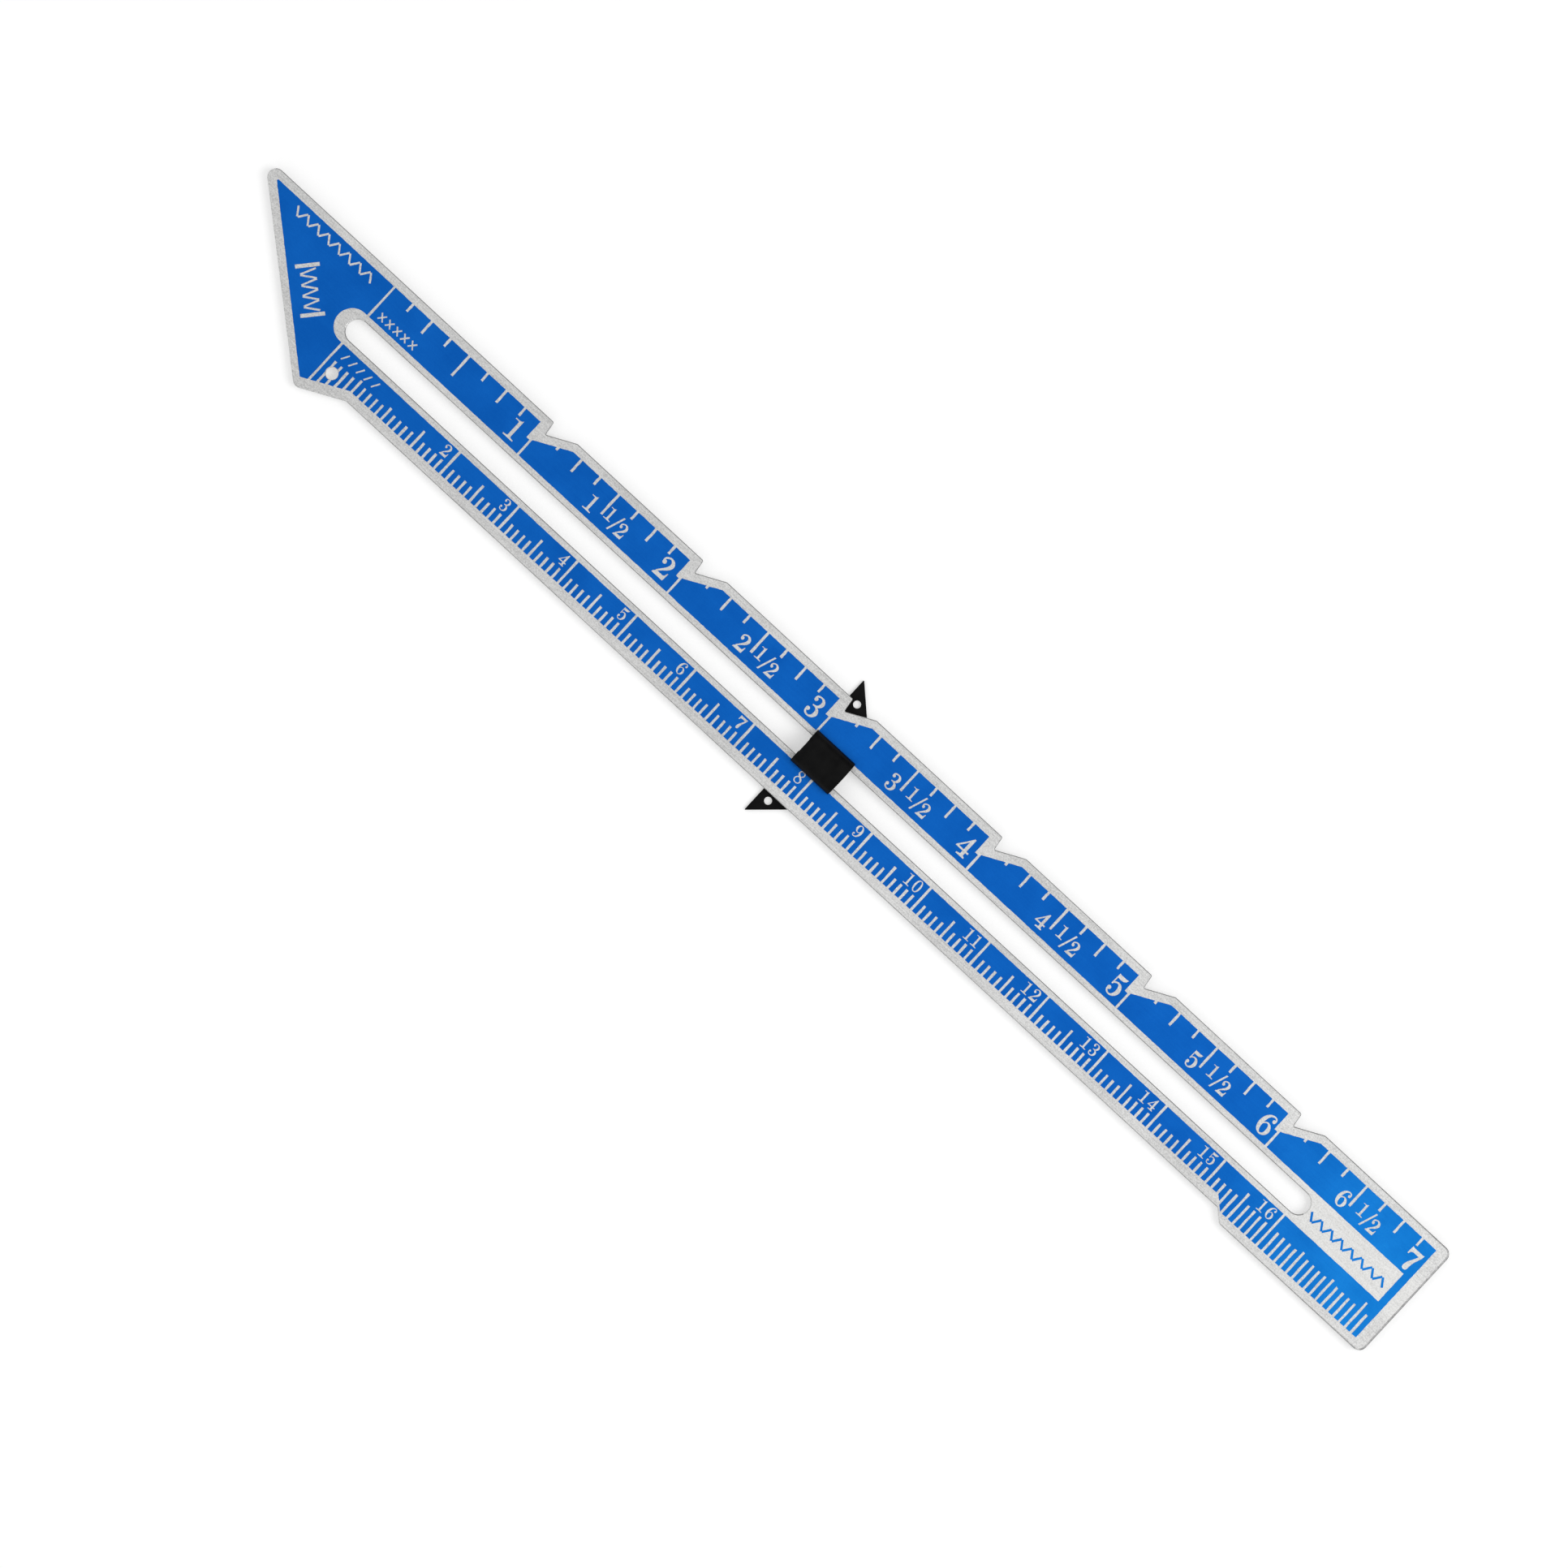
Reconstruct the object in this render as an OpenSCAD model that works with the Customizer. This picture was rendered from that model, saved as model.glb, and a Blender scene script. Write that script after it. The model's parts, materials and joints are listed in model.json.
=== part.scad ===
// Sewing gauge: a punched aluminium blade with an inch scale and a metric scale, a long slot,
// and a folded black slider whose straight edge marks the reading.
// Lengths are millimetres. Inside the model X runs along the blade from the zero lines,
// Y runs up to the inch edge from the middle of the slot, and Z is 0 on the back of the blade.

/* [Blade] */
// Length of the blade from its point to its far end
blade_l = 199.9; // [120:0.1:240]
// Middle of the slot to the inch edge
inch_side = 8.35; // [7.5:0.05:11]
// Middle of the slot to the metric edge
metric_side = 7.35; // [6.6:0.05:10]
// Thickness of the sheet
blade_t = 0.8; // [0.6:0.05:1.6]
// Radius of the corners at the far end
end_r = 1.1; // [0.4:0.1:2]

/* [Point and foot] */
// Angle between the inch edge and the sloping side
point_angle = 40; // [34:0.5:48]
// Radius of the point turner's tip
tip_r = 1.1; // [0.5:0.1:1.8]
// How far the foot's corner drops below the metric edge
foot_drop = 3.05; // [1.5:0.05:4.5]
// Foot's corner before the zero line
foot_back = 0.85; // [0:0.05:2]
// Radius of the foot's corner
foot_r = 1.1; // [0.3:0.1:2]

/* [Notches and widened end] */
// Step of a notch past its printed inch line
notch_past = 0.62; // [0:0.05:1.5]
// Depth of a notch
notch_depth = 1.87; // [0.8:0.01:3]
// Lean of a notch's step
notch_lean = 0.26; // [0:0.01:0.6]
// Radius at the corners of a notch
notch_r = 0.15; // [0.05:0.05:0.3]
// Radius at the top of a notch's step
step_r = 0.25; // [0.05:0.05:0.4]
// Angle of the ramps at the notches and the foot
ramp_angle = 26.5; // [20:0.5:35]
// Length of the widened end
wide_l = 25.4; // [16:0.1:40]
// Extra width of the widened end
wide_drop = 1.35; // [0.5:0.01:2.5]
// Length of the slope into the widened end
wide_run = 1.5; // [0.5:0.05:4]

/* [Slot and pivot hole] */
// Width of the slot
slot_w = 3.06; // [2.4:0.02:4.6]
// Round end of the slot before the zero line
slot_back = 1.15; // [0.5:0.05:2]
// Far end of the slot to the end of the blade
slot_end_gap = 16.9; // [12:0.1:30]
// Diameter of the pivot hole
pivot_d = 1.6; // [1:0.1:2.4]
// Pivot hole past the zero line
pivot_x = 1.55; // [1.2:0.05:4]
// Pivot hole up from the metric edge
pivot_up = 1.35; // [1.2:0.05:2.5]

/* [Blue scale face] */
// Thickness of the dyed layer
face_t = 0.04; // [0.02:0.01:0.1]
// Bare margin along the inch edge
margin_inch = 1.1; // [0.5:0.05:2]
// Bare margin along the metric edge
margin_metric = 1.27; // [0.5:0.01:2]
// Bare margin along the sloping side, at the foot
margin_point = 0.9; // [0.5:0.05:2]
// Turn of the sloping side of the layer
face_turn = 0.6; // [0:0.1:1]
// Bare margin along the foot's ramp
margin_foot = 1.37; // [0.5:0.01:2]
// Bare margin at the far end
margin_end = 1.77; // [0.8:0.01:3]
// Bare margin under the widened end
margin_wide = 1.15; // [0.5:0.05:2]
// Layer's slope before the blade's slope into the widened end
face_slope_lead = 1.05; // [0.5:0.05:2]
// Bare strip above and below the slot
margin_slot = 0.8; // [0.4:0.05:1.2]
// Round bare end before the zero line
window_back = 2.85; // [2:0.05:4]
// Bare ring round the pivot hole
margin_pivot = 0.06; // [0.02:0.01:0.4]
// Blue bar between the bare panel and the far margin
end_bar = 1; // [0.5:0.1:3]
// Layer's edge before each inch line at a notch
face_gap_back = 0.65; // [0.3:0.05:1.5]
// Depth of the bare gap at a notch below the layer's edge
face_gap_depth = 2.6; // [1.5:0.05:3.5]

/* [Graduations] */
// Width of the inch lines and zero lines
line_w = 0.32; // [0.2:0.01:0.5]
// Width of the short graduation lines
tick_w = 0.34; // [0.2:0.01:0.5]
// Length of the eighth lines
eighth_l = 1.25; // [0.6:0.05:2]
// Length of the quarter lines
quarter_l = 2; // [1:0.05:3]
// Length of the half lines
half_l = 3.3; // [1.5:0.05:4.5]
// Length of the millimetre lines
mm_l = 1.55; // [0.8:0.05:2.2]
// Length of the five millimetre lines
five_l = 2.65; // [1.2:0.05:3.5]
// Length of the five millimetre lines that are printed short
short_five_l = 1.95; // [1:0.05:3]
// Metric zero before the inch zero
metric_back = 0.05; // [0:0.01:0.5]

/* [Slider] */
// Straight edge of the slider on the inch scale
reading = 3; // [0:0.125:4]
// Width of the folded strip
strip_w = 6.35; // [4:0.05:9]
// Thickness of the folded strip
strip_t = 0.4; // [0.3:0.02:0.46]
// Width of the band in front of the slot
band_w = 5.14; // [4.9:0.02:8]
// Height of the band above the blade's face
band_h = 2.3; // [2.2:0.05:3.5]
// Outer radius of the band's shoulders
shoulder_r = 1.3; // [0.8:0.05:1.4]
// Inner radius of the small folds
fold_r = 0.2; // [0.1:0.02:0.24]
// Pointer tips to the middle of the slot
pointer_reach = 11.05; // [9.8:0.05:14]
// Angle of the pointers' sloping sides
pointer_angle = 43; // [35:0.5:55]
// Diameter of the pencil holes
pencil_d = 1; // [0.6:0.05:1.4]
// Pencil holes to the straight edge
pencil_in = 1.45; // [1.2:0.05:2]
// Pencil holes to the pointer tips
pencil_down = 2.87; // [2.5:0.01:4]
// Gap between the slider's necks and the slot's sides
neck_gap = 0.15; // [0.1:0.01:0.25]
// Gap between the slider and the blade's two faces
slide_gap = 0.1; // [0.06:0.01:0.2]

/* [Hidden] */

inch = 25.4;
millimetre = 1;
short_fives = [5, 10, 165, 170];
eps = 0.01;
arc_step = 10;
$fn = 96;

// Outline of the blade
wide_side = metric_side + wide_drop;
foot = [-foot_back, -metric_side - foot_drop];
point_rise = inch_side - foot[1];
point = [foot[0] - point_rise / tan(point_angle), inch_side];
ramp_top = [foot[0] + foot_drop / tan(ramp_angle), -metric_side];
tip_x = point[0] + tip_r / tan(point_angle / 2) - tip_r;
end_x = tip_x + blade_l;
wide_x = end_x - wide_l;

// Notches stand at each inch that leaves room for a whole one before the end
notch_run = notch_depth / tan(ramp_angle);
notch_span = notch_past + notch_lean + notch_run;
notches = floor((end_x - end_r - notch_span) / inch);

// Slot between the middles of its round ends
slot_r = slot_w / 2;
slot_start = slot_r - slot_back;
slot_stop = end_x - slot_end_gap - slot_r;

// Edges of the blue layer
face_top = inch_side - margin_inch;
face_bottom = -metric_side + margin_metric;
face_wide_bottom = -wide_side + margin_wide;
face_end = end_x - margin_end;
window_r = slot_r + margin_slot;
window_end = face_end - end_bar;
gap_floor = face_top - face_gap_depth;

// Slider, with its straight edge at its own x = 0
slider_x = reading * inch;
neck_y = slot_r - neck_gap;
arm_top = -slide_gap;
arm_bottom = arm_top - strip_t;
rail_bottom = blade_t + slide_gap;
rail_top = rail_bottom + strip_t;
crown_top = blade_t + band_h;
outer_fold_r = fold_r + strip_t;
pointer_cut = strip_w * tan(pointer_angle);

// The finished model stands on the slider's arms, with its middle over the origin
model_shift = [-(tip_x + end_x) / 2, 0, -arm_bottom];

function unit(v) = v / norm(v);

// Arc of radius r that rounds the corner b between a and c
function rounded_corner(a, b, c, r) =
    let (
        to_a = unit(a - b),
        to_c = unit(c - b),
        half = acos(to_a * to_c) / 2,
        centre = b + unit(to_a + to_c) * r / sin(half),
        from = b + to_a * r / tan(half) - centre,
        to = b + to_c * r / tan(half) - centre,
        first = atan2(from[1], from[0]),
        turn = (atan2(to[1], to[0]) - first + 540) % 360 - 180,
        steps = max(2, ceil(abs(turn) / arc_step))
    )
    [for (i = [0:steps]) centre + r * [cos(first + turn * i / steps), sin(first + turn * i / steps)]];

// Outline from corners given as [x, y, radius]
function rounded_outline(corners) =
    let (n = len(corners), xy = [for (p = corners) [p[0], p[1]]])
    [
        for (i = [0:n - 1])
            for (p = corners[i][2] == 0
                ? [xy[i]]
                : rounded_corner(xy[(i + n - 1) % n], xy[i], xy[(i + 1) % n], corners[i][2]))
                p
    ];

// Point where the line through p at angle a meets the line through q at angle b
function meet(p, a, q, b) =
    p + [cos(a), sin(a)] * ((q[0] - p[0]) * sin(b) - (q[1] - p[1]) * cos(b)) / sin(b - a);

// Point p moved by distance d square to the direction a, to its left
function beside(p, a, d) = p + d * [-sin(a), cos(a)];

// Corners of the notch whose printed line is at x
function notch_corners(x) = [
    [x + notch_past, inch_side, step_r],
    [x + notch_past + notch_lean, inch_side - notch_depth, notch_r],
    [x + notch_span, inch_side, notch_r]
];

function blade_corners() = concat(
    [[point[0], point[1], tip_r]],
    [for (k = [1:notches]) for (p = notch_corners(k * inch)) p],
    [
        [end_x, inch_side, end_r],
        [end_x, -wide_side, end_r],
        [wide_x + wide_run, -wide_side, wide_run / 3],
        [wide_x, -metric_side, 0],
        [ramp_top[0], ramp_top[1], 0],
        [foot[0], foot[1], foot_r]
    ]
);

// Corners of the bare gap that the blue layer leaves at a notch
function face_gap_corners(x) =
    let (
        ramp_point = [x + notch_past + notch_lean, inch_side - notch_depth],
        inner = beside(ramp_point, ramp_angle, -margin_inch),
        gap_right = x + line_w / 2
    )
    [
        [x - face_gap_back, face_top],
        [x - face_gap_back, gap_floor],
        [gap_right, gap_floor],
        meet(inner, ramp_angle, [gap_right, 0], 90),
        meet(inner, ramp_angle, [0, face_top], 0)
    ];

function face_corners() =
    let (
        side_point = beside(foot, 180 - point_angle, -margin_point),
        low = meet(side_point, 180 - point_angle, beside(foot, ramp_angle, margin_foot), ramp_angle),
        slope_x = wide_x - face_slope_lead,
        slope_run = wide_run * (face_bottom - face_wide_bottom) / wide_drop
    )
    concat(
        [meet(low, 180 - point_angle - face_turn, [0, face_top], 0)],
        [for (k = [1:notches]) for (p = face_gap_corners(k * inch)) p],
        [
            [face_end, face_top],
            [face_end, face_wide_bottom],
            [slope_x + slope_run, face_wide_bottom],
            [slope_x, face_bottom],
            meet(low, ramp_angle, [0, face_bottom], 0),
            low
        ]
    );

// Upright line of width w, from y = low to y = high
module upright_line(x, w, low, high) {
    translate([x - w / 2, low])
        square([w, high - low]);
}

// Inch graduations, which hang from the layer's upper edge
module inch_lines() {
    for (k = [0:notches])
        upright_line(k * inch, line_w, 0, inch_side);
    for (e = [1:floor((face_end - tick_w) * 8 / inch)])
        if (e % 8 != 0)
            upright_line(e * inch / 8, tick_w, face_top - inch_line_l(e), inch_side);
}

// Length of the inch graduation with e eighths
function inch_line_l(e) = e % 4 == 0 ? half_l : e % 2 == 0 ? quarter_l : eighth_l;

// Metric graduations, which rise from the layer's lower edge
module metric_lines() {
    upright_line(-metric_back, line_w, foot[1], 0);
    for (m = [1:floor((face_end + metric_back - tick_w) / millimetre)])
        upright_line(m * millimetre - metric_back, tick_w, -wide_side, metric_line_top(m));
}

// Upper end of the graduation at m millimetres
function metric_line_top(m) =
    m % 5 != 0 ? face_bottom + mm_l
    : len(search(m, short_fives)) > 0 ? face_bottom + short_five_l
    : m % 10 == 0 ? 0
    : face_bottom + five_l;

// Bare window round the slot, with the bare panel at its far end
module window() {
    translate([window_r - window_back, 0])
        circle(window_r);
    translate([window_r - window_back, -window_r])
        square([window_end + window_back - window_r, 2 * window_r]);
}

// Edge of the blue layer round the pivot hole
module ring_edge(r) {
    polygon([for (a = [0:arc_step:359]) r * [cos(a), sin(a)]]);
}

module slot_cut(height) {
    for (x = [slot_start, slot_stop])
        translate([x, 0, -eps])
            cylinder(r = slot_r, h = height + 2 * eps);
    translate([slot_start, -slot_r, -eps])
        cube([slot_stop - slot_start, slot_w, height + 2 * eps]);
}

module pivot_cut(height) {
    translate([pivot_x, -metric_side + pivot_up, -eps])
        cylinder(d = pivot_d, h = height + 2 * eps);
}

// Side view of the folded strip, as y and z
function slider_half_profile() = [
    [pointer_reach, arm_bottom, 0],
    [pointer_reach, arm_top, 0],
    [neck_y, arm_top, fold_r],
    [neck_y, rail_bottom, fold_r],
    [band_w / 2, rail_bottom, outer_fold_r],
    [band_w / 2, crown_top, shoulder_r]
];

function slider_inner_half_profile() = [
    [band_w / 2 - strip_t, crown_top - strip_t, shoulder_r - strip_t],
    [band_w / 2 - strip_t, rail_top, fold_r],
    [neck_y - strip_t, rail_top, outer_fold_r],
    [neck_y - strip_t, arm_bottom, outer_fold_r]
];

function mirrored(corners) = [
    for (i = [len(corners) - 1:-1:0]) [-corners[i][0], corners[i][1], corners[i][2]]
];

module slider_profile() {
    polygon(rounded_outline(concat(
        slider_half_profile(),
        mirrored(slider_half_profile()),
        mirrored(slider_inner_half_profile()),
        slider_inner_half_profile()
    )));
}

// Outline of the flat strip seen from the front, with its two pointers
module slider_plan() {
    polygon([
        [0, pointer_reach],
        [0, -pointer_reach],
        [strip_w, pointer_cut - pointer_reach],
        [strip_w, pointer_reach - pointer_cut]
    ]);
}

module blade() {
    color("silver")
        translate(model_shift)
            difference() {
                linear_extrude(blade_t)
                    polygon(rounded_outline(blade_corners()));
                slot_cut(blade_t);
                pivot_cut(blade_t);
            }
}

module scale_face() {
    color("royalblue")
        translate(model_shift + [0, 0, blade_t])
            linear_extrude(face_t)
                difference() {
                    polygon(face_corners());
                    window();
                    inch_lines();
                    metric_lines();
                    translate([pivot_x, -metric_side + pivot_up])
                        ring_edge(pivot_d / 2 + margin_pivot);
                }
}

module slider() {
    color("black")
        translate(model_shift + [slider_x, 0, 0])
            difference() {
                intersection() {
                    rotate([90, 0, 90])
                        linear_extrude(strip_w)
                            slider_profile();
                    translate([0, 0, arm_bottom - eps])
                        linear_extrude(crown_top - arm_bottom + 2 * eps)
                            slider_plan();
                }
                for (side = [-1, 1])
                    translate([pencil_in, side * (pointer_reach - pencil_down), arm_bottom - eps])
                        cylinder(d = pencil_d, h = strip_t + 2 * eps);
            }
}

blade();
scale_face();
slider();
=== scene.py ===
import json
import math
import random

import bmesh
import bpy
from mathutils import Matrix, Vector
from mathutils.geometry import delaunay_2d_cdt


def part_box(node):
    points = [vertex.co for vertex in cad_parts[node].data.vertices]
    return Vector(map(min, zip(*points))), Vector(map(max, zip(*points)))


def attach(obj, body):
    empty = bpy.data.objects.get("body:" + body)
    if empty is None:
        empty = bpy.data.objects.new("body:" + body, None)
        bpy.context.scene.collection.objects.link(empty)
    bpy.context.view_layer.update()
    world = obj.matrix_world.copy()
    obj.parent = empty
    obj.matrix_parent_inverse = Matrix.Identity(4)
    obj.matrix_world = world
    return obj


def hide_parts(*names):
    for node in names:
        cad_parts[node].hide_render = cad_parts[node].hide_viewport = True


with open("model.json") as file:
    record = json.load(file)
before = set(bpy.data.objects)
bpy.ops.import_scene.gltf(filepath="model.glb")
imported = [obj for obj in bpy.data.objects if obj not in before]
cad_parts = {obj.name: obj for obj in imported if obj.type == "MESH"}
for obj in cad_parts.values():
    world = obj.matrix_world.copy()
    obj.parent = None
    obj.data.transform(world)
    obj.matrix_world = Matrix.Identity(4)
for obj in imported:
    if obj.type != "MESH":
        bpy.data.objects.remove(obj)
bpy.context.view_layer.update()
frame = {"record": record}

# Ruler frame: millimetres, x from the zero lines, y up from the middle of the slot, z from the back
MM = 0.001
INCH = 25.4

# Blade
INCH_SIDE = 8.35
METRIC_SIDE = 7.35
BLADE_T = 0.8
BLADE_L = 199.9
END_R = 1.1
POINT_ANGLE = 40
TIP_R = 1.1
FOOT_DROP = 3.05
FOOT_BACK = 0.85
FOOT_R = 1.1
NOTCH_PAST = 0.62
NOTCH_DEPTH = 1.87
NOTCH_LEAN = 0.26
NOTCH_R = 0.15
STEP_R = 0.25
RAMP_TOP_R = 0.45
RAMP_ANGLE = 26.5
WIDE_L = 25.4
WIDE_DROP = 1.35
WIDE_RUN = 1.5
WIDE_R = 0.5
SLOT_R = 1.53
SLOT_BACK = 1.15
SLOT_END_GAP = 16.9
PIVOT = Vector((1.55, -6.0))
PIVOT_R = 0.8

# Edges of the blade: the rolled strips, how the wear at the far end and the pivot hole scales them,
# which way the sides with strong painted shade (a painted dark reflection) face, in degrees, and how
# squarely a side in a hole with strong painted shade or a side with mild painted shade has to face
# across the ruler
FRONT_ROLL = 0.11
BACK_ROLL = 0.04
WEAR_REACH = 3.0
END_WEAR = 1.4
PIVOT_WEAR = 0.4
STRONG_SHADE_TOWARDS = 43
STRONG_SHADE_IN_HOLE_FACING = 0.4
MILD_SHADE_FACING = 0.99

# Places of the bare metal and of the edges' two painted shades in the blade's list of materials
BARE, STRONG_PAINTED_SHADE, MILD_PAINTED_SHADE = range(3)

# Blue face
FACE_T = 0.04
MARGIN_INCH = 1.1
MARGIN_METRIC = 1.27
MARGIN_POINT = 0.9
MARGIN_FOOT = 1.37
MARGIN_END = 1.77
MARGIN_WIDE = 1.15
FACE_TURN = 0.6
FACE_TIP_R = 0.15
FACE_SLOPE_LEAD = 1.05
MARGIN_SLOT = 0.8
WINDOW_R = SLOT_R + MARGIN_SLOT
WINDOW_BACK = 2.85
END_BAR = 1.0
GAP_BACK = 0.65
GAP_DEPTH = 2.6
PIVOT_MARGIN = 0.06
EDGE_STEP = 0.35
EDGE_ROUGH = 0.018

# Graduations
LINE_W = 0.32
TICK_W = 0.34
EIGHTH_L = 1.25
QUARTER_L = 2.0
HALF_L = 3.3
MM_L = 1.55
FIVE_L = 2.65
SHORT_FIVE_L = 1.95
SHORT_FIVES = (5, 10, 165, 170)
METRIC_BACK = 0.05
OVERRUN = 0.5
LINE_OVERLAP = 0.2
ZERO_LINE_TOP = -1.0
TICK_ROUGH = 0.03

# Plain motifs in the blue face: rows of stitches, and a thread spool of two flanges and thread
STITCH_ROUGH = 0.015
ZIGZAG_SLANT = math.radians(55)
ZIGZAG = {
    "Count": 15,
    "Start": (-15.3, 6.0, 0),
    "Pitch": 0.88,
    "Length": 1.35,
    "Width": 0.26,
    "Slant": ZIGZAG_SLANT,
}
PANEL_ZIGZAG = {
    "Count": 15,
    "Start": (162.6, -0.25, 0),
    "Pitch": 0.86,
    "Length": 1.3,
    "Width": 0.3,
    "Slant": ZIGZAG_SLANT,
}
CROSSES = {"Count": 5, "Start": (1.45, 3.38, 0), "Pitch": 1.28, "Length": 1.25, "Width": 0.2}
CROSS_LEANS = (50, 130)
RUNNING = {"Count": 5, "Start": (1.45, -3.4, 0), "Pitch": 1.28, "Length": 1.2, "Width": 0.2}
RUNNING_LEAN = 60
SPOOL = Vector((-7.5, -0.2))
SPOOL_L = 6.2
SPOOL_SLOPE = 41
FLANGES = {"Count": 2, "Length": 3.1, "Width": 0.5, "Slant": math.radians(90)}
THREAD_IN = 0.75
THREAD = {"Count": 8, "Length": 2.1, "Width": 0.24, "Slant": math.radians(74)}

# Slider, with its straight edge at its own x = 0
READING = 3
STRIP_W = 6.35
STRIP_T = 0.4
BAND_W = 5.14
BAND_H = 2.3
SHOULDER_R = 1.3
FOLD_R = 0.2
POINTER_REACH = 11.05
POINTER_ANGLE = 43
PENCIL_R = 0.5
PENCIL_IN = 1.45
PENCIL_DOWN = 2.87
NECK_GAP = 0.15
SLIDE_GAP = 0.1
STRIP_ROLL = 0.05
TIP_ROUND = 0.08
POINTER_R = 0.12
BAND_BOW = 0.1
BOW_AT_EDGE = 0.6

# Camera over the photograph's middle
VIEW_CENTRE = Vector((-0.99, -5.29))
VIEW_TURN = 42.77
VIEW_WIDTH = 195.45
CAMERA_UP = 1.2

# Lamp: where it comes from in the ruler frame, in degrees, then metres and watts
KEY_FROM = 30
KEY_OUT = 0.78
KEY_UP = 0.9
KEY_SIZE = 0.75
KEY_POWER = 5.8

# World: its level, its share on the dark side, and the cosines between which it turns dark
WORLD_LEVEL = 0.76
DARK_SHARE = 0.12
DARK_FROM = 0.35
DARK_TO = 0.8

# Floor: half its side in metres, how far below the gauge it is in millimetres, its tone and glow
FLOOR_HALF = 1.5
FLOOR_BELOW = 0.02
FLOOR_TONE = 0.72
FLOOR_GLOW = 0.37

# Fineness of the meshes: degrees on arcs and folds, parts of a flat, sides of rings, points along
# lines and stitches, the angles kept sharp, the mitre limit, and how near two points are one, in
# millimetres and then metres
ARC_STEP = 5
WINDOW_STEP = 6
FOLD_STEP = 7.5
FLAT_PARTS = 3
RING_SIDES = 48
PENCIL_SIDES = 32
DOT_SIDES = 16
LINE_POINTS = 6
STITCH_POINTS = 4
SHARP_ANGLE = 30
BENT_SHARP_ANGLE = 10
MITRE_LIMIT = 0.3
SAME_IN_SHEET = 1e-5
SAME_POINT = 2e-8

# Looks: darkest and lightest colours, the edges' painted shades among them, where along the ruler the
# painted highlights on the bare panel and on the blue begin and end, and the width over which the
# panel's painted highlight ends beside it
ALUMINIUM = ((0.42, 0.42, 0.42), (0.92, 0.92, 0.91))
PAINTED_HIGHLIGHT_ALUMINIUM = ((0.56, 0.56, 0.55), (0.93, 0.93, 0.92))
# Edge colours: painted shade, darker edges standing for dark reflections, put on sides by the way they face
STRONG_SHADE_EDGE_COLOURS = ((0.22, 0.22, 0.22), (0.44, 0.44, 0.44))
MILD_SHADE_EDGE_COLOURS = ((0.3, 0.3, 0.3), (0.58, 0.58, 0.58))
DEEP_BLUE = ((0.004, 0.11, 0.49), (0.007, 0.145, 0.59))
# Painted highlight: a paler blue for the wide end
PAINTED_HIGHLIGHT_BLUE = ((0.006, 0.18, 0.6), (0.012, 0.25, 0.74))
BLACK = ((0.001, 0.001, 0.0012), (0.004, 0.004, 0.004))
PANEL_HIGHLIGHT_FROM = 150
PANEL_HIGHLIGHT_TO = 166
PANEL_HIGHLIGHT_FADE = 2.0
BLUE_HIGHLIGHT_FROM = 140
BLUE_HIGHLIGHT_TO = 180

SEED = 7

pivot_mount = next(m for m in frame["record"]["mounts"] if m["name"] == "pivot_hole")
ZERO_X = pivot_mount["pos_m"][0] / MM - PIVOT.x
BACK_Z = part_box("blade")[0].z / MM


def in_frame(x, y, z):
    """A ruler point, in the frame's metres."""
    return Vector((x + ZERO_X, y, z + BACK_Z)) * MM


# Outlines

def aim(degrees):
    """Unit vector at an angle."""
    return Vector((math.cos(math.radians(degrees)), math.sin(math.radians(degrees))))


def meet(p, a, q, b):
    """Point where the line through p at angle a meets the line through q at angle b."""
    across = math.sin(math.radians(b - a))
    along = ((q[0] - p[0]) * aim(b).y - (q[1] - p[1]) * aim(b).x) / across
    return Vector(p) + aim(a) * along


def beside(p, a, distance):
    """Point at a distance from p, square to the direction a, to its left."""
    return Vector(p) + Vector((-aim(a).y, aim(a).x)) * distance


def rounded(corners):
    """Outline from corners (x, y, radius), with an arc point every few degrees."""
    points = []
    for i, (x, y, r) in enumerate(corners):
        corner = Vector((x, y))
        if r == 0:
            points.append(corner)
            continue
        to_a = (Vector(corners[i - 1][:2]) - corner).normalized()
        to_c = (Vector(corners[(i + 1) % len(corners)][:2]) - corner).normalized()
        half = to_a.angle(to_c) / 2
        centre = corner + (to_a + to_c).normalized() * r / math.sin(half)
        start = corner + to_a * r / math.tan(half) - centre
        stop = corner + to_c * r / math.tan(half) - centre
        turn = math.atan2(start.x * stop.y - start.y * stop.x, start.dot(stop))
        steps = max(2, math.ceil(abs(math.degrees(turn)) / ARC_STEP))
        first = math.atan2(start.y, start.x)
        for k in range(steps + 1):
            a = first + turn * k / steps
            points.append(centre + Vector((math.cos(a), math.sin(a))) * r)
    return points


def ring(x, y, r, sides=RING_SIDES):
    """Circle as a loop of points."""
    return [Vector((x, y)) + aim(360 * k / sides) * r for k in range(sides)]


def signed_area(points):
    return sum(a.x * b.y - b.x * a.y for a, b in zip(points, points[1:] + points[:1])) / 2


def turned(points, left):
    """The same loop, running anticlockwise when left is true."""
    return points if (signed_area(points) > 0) == left else points[::-1]


def inset(points, distance):
    """The loop moved to its left by a distance that its wear scales, with mitred corners."""
    moved = []
    for i, p in enumerate(points):
        before = (p - points[i - 1]).normalized()
        after = (points[(i + 1) % len(points)] - p).normalized()
        left_a = Vector((-before.y, before.x))
        left_b = Vector((-after.y, after.x))
        middle = (left_a + left_b).normalized()
        moved.append(p + middle * distance * worn(p) / max(MITRE_LIMIT, middle.dot(left_a)))
    return moved


def worn(p):
    """Scale of a rolled edge at a point: narrow at the pivot hole, wide towards the far end."""
    if (p - PIVOT).length < 2 * PIVOT_R:
        return PIVOT_WEAR
    end_wear = min(1.0, max(0.0, (p.x - end_x + WEAR_REACH) / WEAR_REACH))
    return 1 + END_WEAR * end_wear ** 2


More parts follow.
